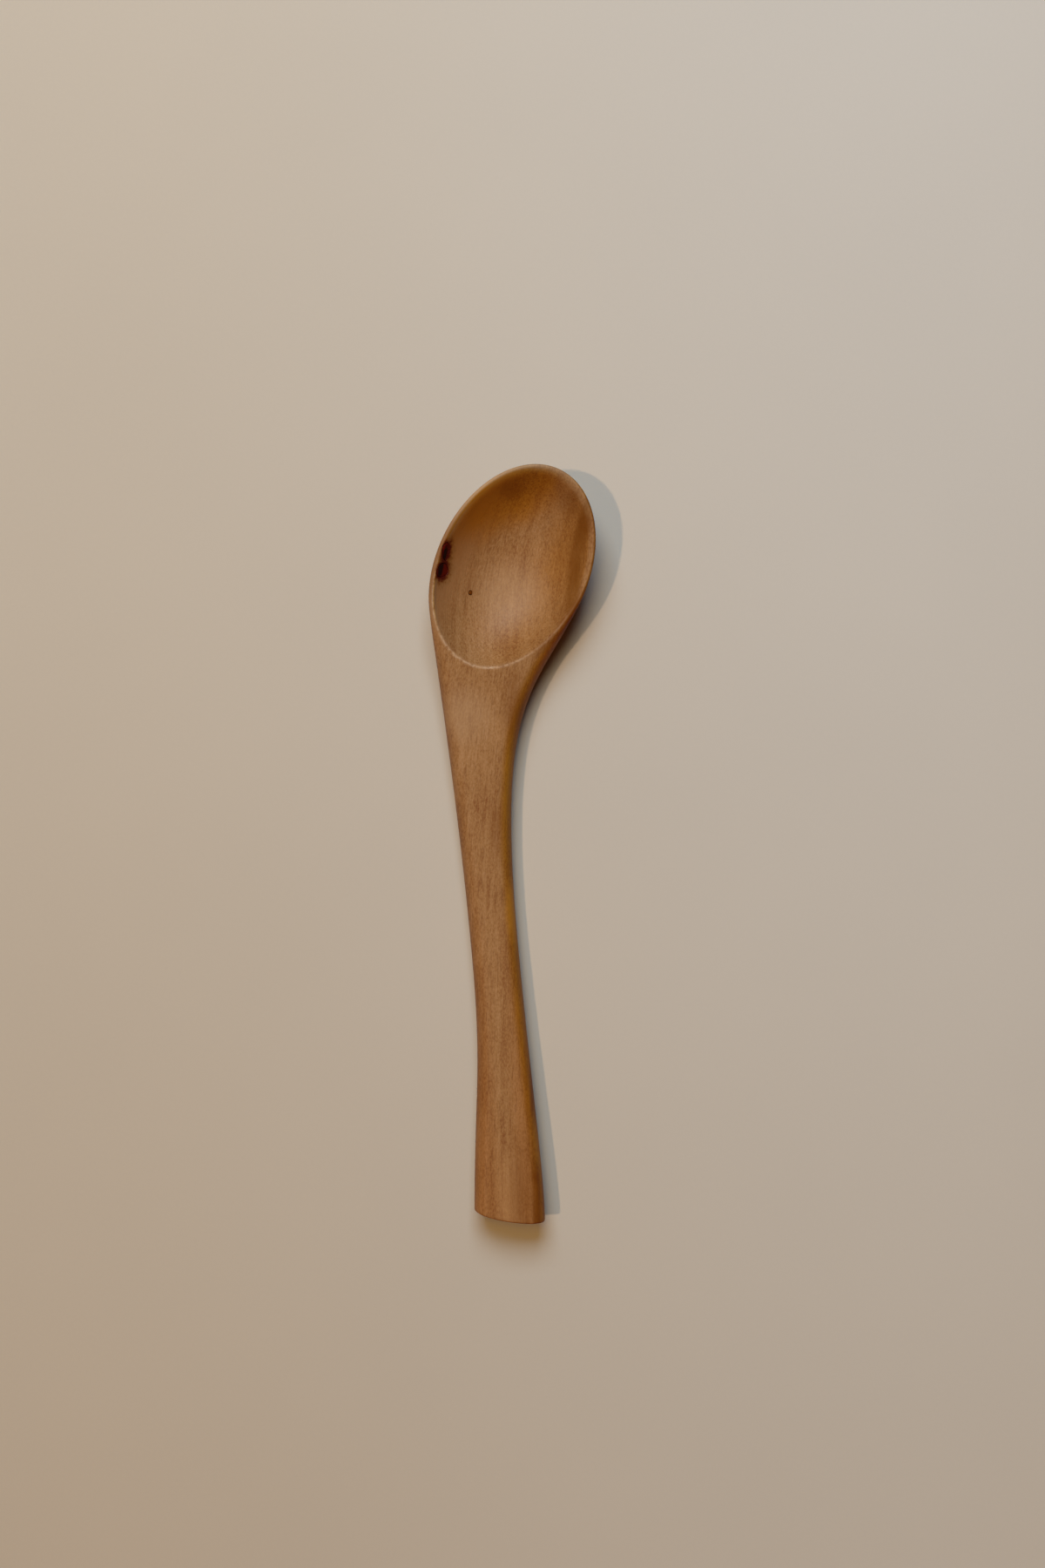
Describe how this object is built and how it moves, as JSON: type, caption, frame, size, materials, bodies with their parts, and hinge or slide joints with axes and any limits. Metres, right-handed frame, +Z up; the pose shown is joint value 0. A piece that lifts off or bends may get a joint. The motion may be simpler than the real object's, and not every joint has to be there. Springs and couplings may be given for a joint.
{
  "type": "wooden spoon",
  "caption": "Small carved wooden spoon: a leaning oval bowl with a narrow rim, a curved waisted handle flaring to a sawn butt, and dead knots set in the bowl.",
  "frame": {"origin": "under the centre of the spoon's bounding box, on the surface that it lies on", "axes": "+Y along the spoon from the butt of the handle to the tip of the bowl, +Z up out of the hollow of the bowl, +X to the right seen from above with the tip away from the viewer"},
  "size_m": [0.0396, 0.18, 0.0159],
  "materials": {
    "oiled_wood": "sanded and oiled, satin",
    "dead_knot": "sanded and oiled, nearly black red-brown",
    "pin_knot_wood": "sanded and oiled, brown"
  },
  "bodies": {
    "root": {"spoon_body": "oiled_wood", "side_knot_upper": "dead_knot", "side_knot_lower": "dead_knot", "pin_knot": "pin_knot_wood"}
  },
  "joints": []
}
